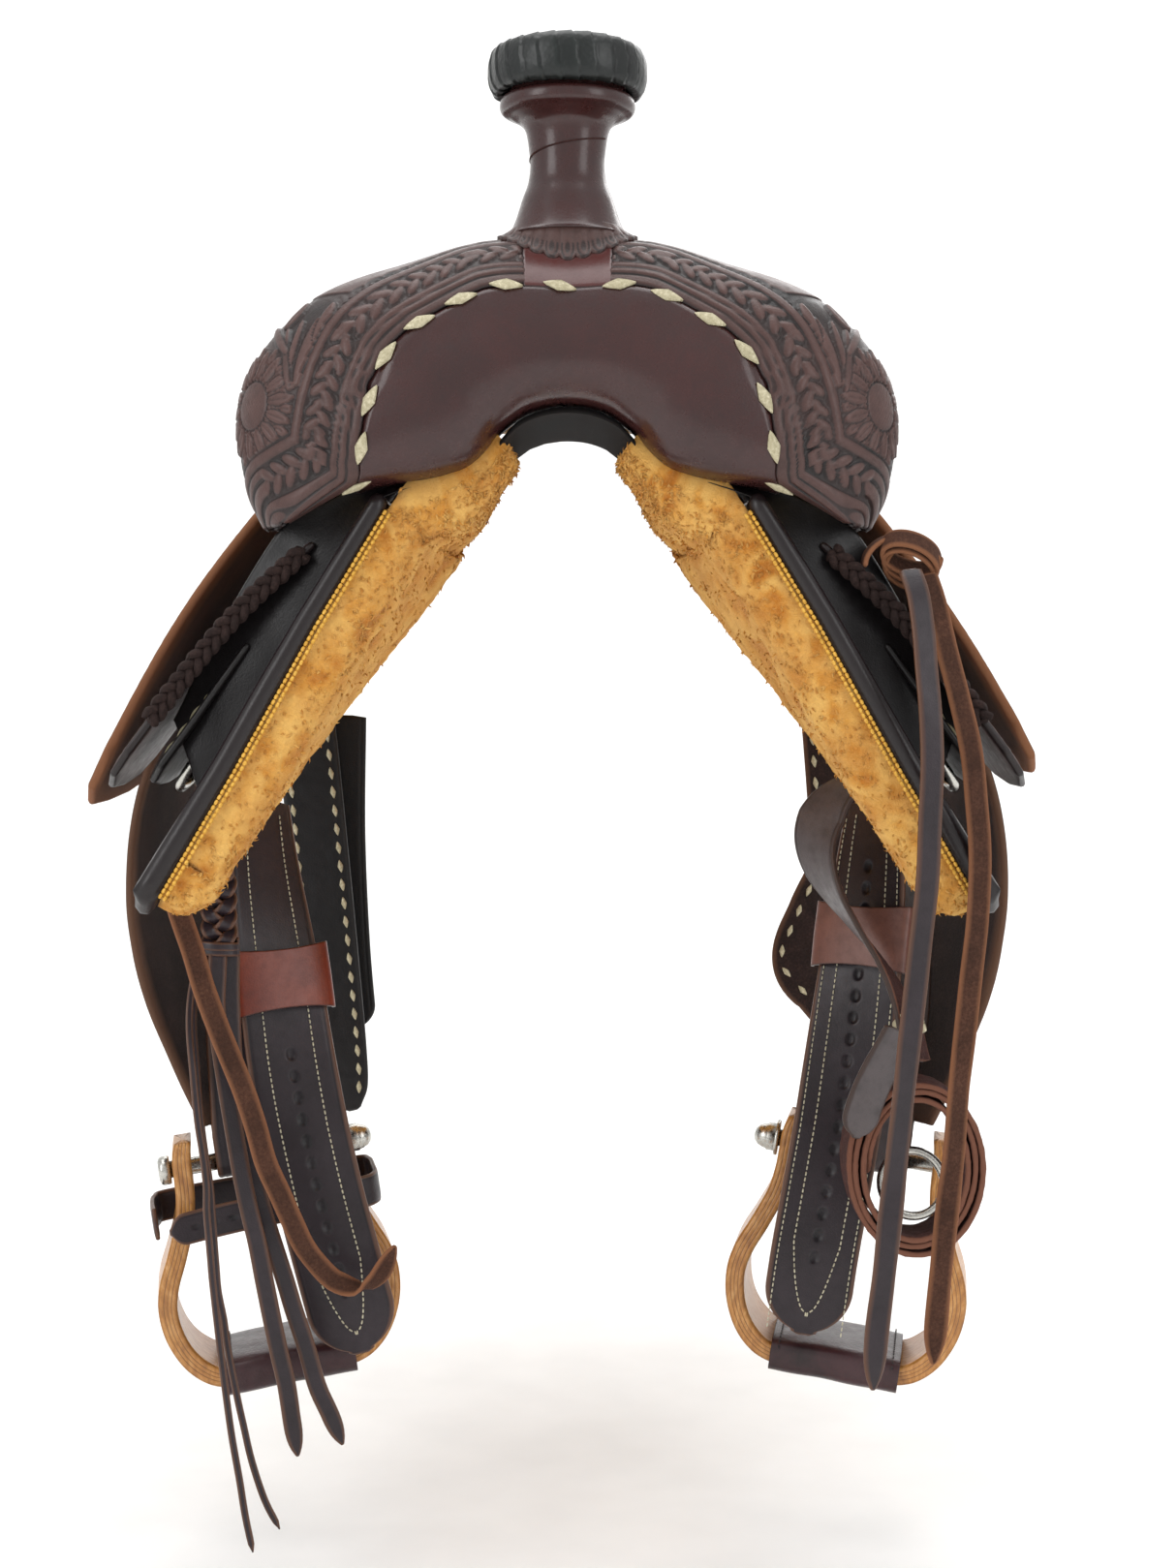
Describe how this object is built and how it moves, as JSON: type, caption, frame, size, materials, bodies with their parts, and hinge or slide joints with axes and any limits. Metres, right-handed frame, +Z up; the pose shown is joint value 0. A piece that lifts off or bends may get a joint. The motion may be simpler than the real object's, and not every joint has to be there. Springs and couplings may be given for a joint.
{
  "type": "western saddle",
  "caption": "Western saddle with tooled swell fork, bound horn, fleece-lined skirts, fenders, laminated wooden stirrups, latigo and hanging saddle strings.",
  "frame": {"origin": "the top of the gullet on the saddle's symmetry plane, in the plane of the fork's widest section, where the saddle bridges the horse's withers", "axes": "+Z up, +Y from the fork to the rear skirts, +X to the near (left) side of the horse, which is on the right as the saddle is seen from the front"},
  "size_m": [0.5423, 0.659, 0.8084],
  "materials": {
    "tooled_leather": "tooled, antiqued, semi-gloss",
    "smooth_leather": "smooth, oiled, glossy",
    "dark_leather": "smooth, semi-matte",
    "black_leather": "smooth, semi-gloss",
    "roughout": "rough flesh side, matte",
    "russet_leather": "smooth, semi-gloss",
    "fleece": "curly wool pile, matte",
    "wood": "laminated, clear varnish",
    "tree_wood": "bare, sealed",
    "steel": "stainless, satin",
    "rawhide": "rawhide, satin"
  },
  "bodies": {
    "saddle_body": {"cantle_back": "smooth_leather", "cantle_binding": "black_leather", "fleece_left": "fleece", "fleece_right": "fleece", "front_dee_left": "steel", "front_dee_right": "steel", "front_jockey_left": "tooled_leather", "front_jockey_right": "tooled_leather", "gullet_cover": "smooth_leather", "gullet_lining": "black_leather", "horn_cap": "smooth_leather", "horn_cap_binding": "black_leather", "horn_neck": "smooth_leather", "horn_post": "steel", "rear_jockey_left": "tooled_leather", "rear_jockey_right": "tooled_leather", "rigging_plate_left": "black_leather", "rigging_plate_right": "black_leather", "seat": "smooth_leather", "seat_jockey_left": "roughout", "seat_jockey_right": "roughout", "skirt_left": "dark_leather", "skirt_right": "dark_leather", "string_dark_left": "dark_leather", "string_dark_right": "dark_leather", "string_knot_left": "dark_leather", "string_roughout_left": "roughout", "string_roughout_right": "roughout", "string_thin_left": "dark_leather", "string_thin_twin_left": "dark_leather", "string_twin_left": "dark_leather", "swell_cover_left": "tooled_leather", "swell_cover_right": "tooled_leather", "tree_bar_left": "tree_wood", "tree_bar_right": "tree_wood", "tree_cantle": "tree_wood", "tree_fork": "tree_wood"},
    "fender_left_body": {"fender_left": "roughout", "stirrup_leather_left": "dark_leather", "leather_tail_left": "dark_leather"},
    "sleeve_left_body": {"leather_sleeve_left": "russet_leather"},
    "stirrup_left_body": {"stirrup_frame_left": "wood", "stirrup_bolt_left": "steel", "stirrup_tread_left": "smooth_leather", "hobble_strap_left": "smooth_leather"},
    "fender_right_body": {"fender_right": "roughout", "stirrup_leather_right": "dark_leather", "leather_tail_right": "dark_leather"},
    "sleeve_right_body": {"leather_sleeve_right": "russet_leather"},
    "stirrup_right_body": {"stirrup_frame_right": "wood", "stirrup_bolt_right": "steel", "stirrup_tread_right": "smooth_leather"},
    "billet_left_body": {"rear_billet_left": "black_leather", "flank_strap_left": "black_leather"},
    "billet_right_body": {"rear_billet_right": "black_leather"},
    "latigo_body": {"latigo_strap": "dark_leather", "latigo_tie": "rawhide", "latigo_coil": "dark_leather", "latigo_end": "dark_leather", "cinch_ring": "steel"}
  },
  "joints": [
    {"name": "fender_swing_left", "type": "hinge", "parent": "saddle_body", "child": "fender_left_body", "pos_m": [-0.19, 0.19, -0.085], "axis": [1, 0, 0], "range_deg": [0, 15]},
    {"name": "sleeve_slide_left", "type": "slide", "parent": "fender_left_body", "child": "sleeve_left_body", "axis": [0.1514, -0.1884, -0.9704], "range_m": [-0.006, 0.008]},
    {"name": "stirrup_turn_left", "type": "hinge", "parent": "fender_left_body", "child": "stirrup_left_body", "pos_m": [-0.1845, 0.17, -0.422], "axis": [0.9752, 0.172, 0.1392], "range_deg": [0, 25]},
    {"name": "billet_swing_left", "type": "hinge", "parent": "saddle_body", "child": "billet_left_body", "pos_m": [-0.186, 0.424, -0.15], "axis": [1, 0, 0], "range_deg": [0, 12]},
    {"name": "fender_swing_right", "type": "hinge", "parent": "saddle_body", "child": "fender_right_body", "pos_m": [0.19, 0.19, -0.085], "axis": [1, 0, 0], "range_deg": [0, 15]},
    {"name": "sleeve_slide_right", "type": "slide", "parent": "fender_right_body", "child": "sleeve_right_body", "axis": [-0.1259, -0.1806, -0.9755], "range_m": [-0.006, 0.008]},
    {"name": "stirrup_turn_right", "type": "hinge", "parent": "fender_right_body", "child": "stirrup_right_body", "pos_m": [0.1785, 0.17, -0.422], "axis": [0.9752, -0.172, -0.1392], "range_deg": [0, 25]},
    {"name": "billet_swing_right", "type": "hinge", "parent": "saddle_body", "child": "billet_right_body", "pos_m": [0.186, 0.424, -0.15], "axis": [1, 0, 0], "range_deg": [0, 12]},
    {"name": "latigo_swing_right", "type": "hinge", "parent": "saddle_body", "child": "latigo_body", "pos_m": [0.206, 0.08, -0.2], "axis": [1, 0, 0], "range_deg": [-6, 0]}
  ]
}
